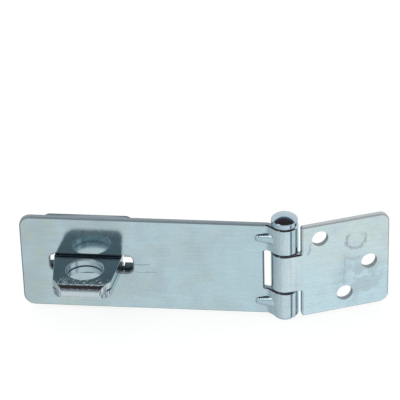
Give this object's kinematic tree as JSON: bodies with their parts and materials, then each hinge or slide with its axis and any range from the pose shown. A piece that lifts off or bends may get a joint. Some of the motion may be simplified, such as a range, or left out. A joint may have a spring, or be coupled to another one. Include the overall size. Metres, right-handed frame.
{
  "type": "padlock hasp",
  "caption": "Pressed-steel padlock hasp: a slotted strap hinged to a screw-down leaf, with a folded staple for a padlock's shackle standing in the strap's slot.",
  "frame": {"origin": "middle of the staple's shackle hole", "axes": "+X along the strap to the hinge, +Y out of the staple's back face into the wood, +Z along the shackle hole and the hinge pin, up in the picture"},
  "size_m": [0.0987, 0.025, 0.0322],
  "materials": {
    "zinc_plated_sheet": "satin",
    "zinc_plated_rivet": "polished",
    "zinc_plated_strip": "satin"
  },
  "bodies": {
    "strap": {"strap": "zinc_plated_sheet", "hinge_pin": "zinc_plated_rivet", "staple": "zinc_plated_strip"},
    "leaf": {"leaf": "zinc_plated_sheet"}
  },
  "joints": [
    {"name": "leaf_hinge", "type": "hinge", "parent": "strap", "child": "leaf", "pos_m": [0.053, 0.0073, 0], "axis": [0, 0, 1], "range_deg": [-130, 157.6]}
  ]
}
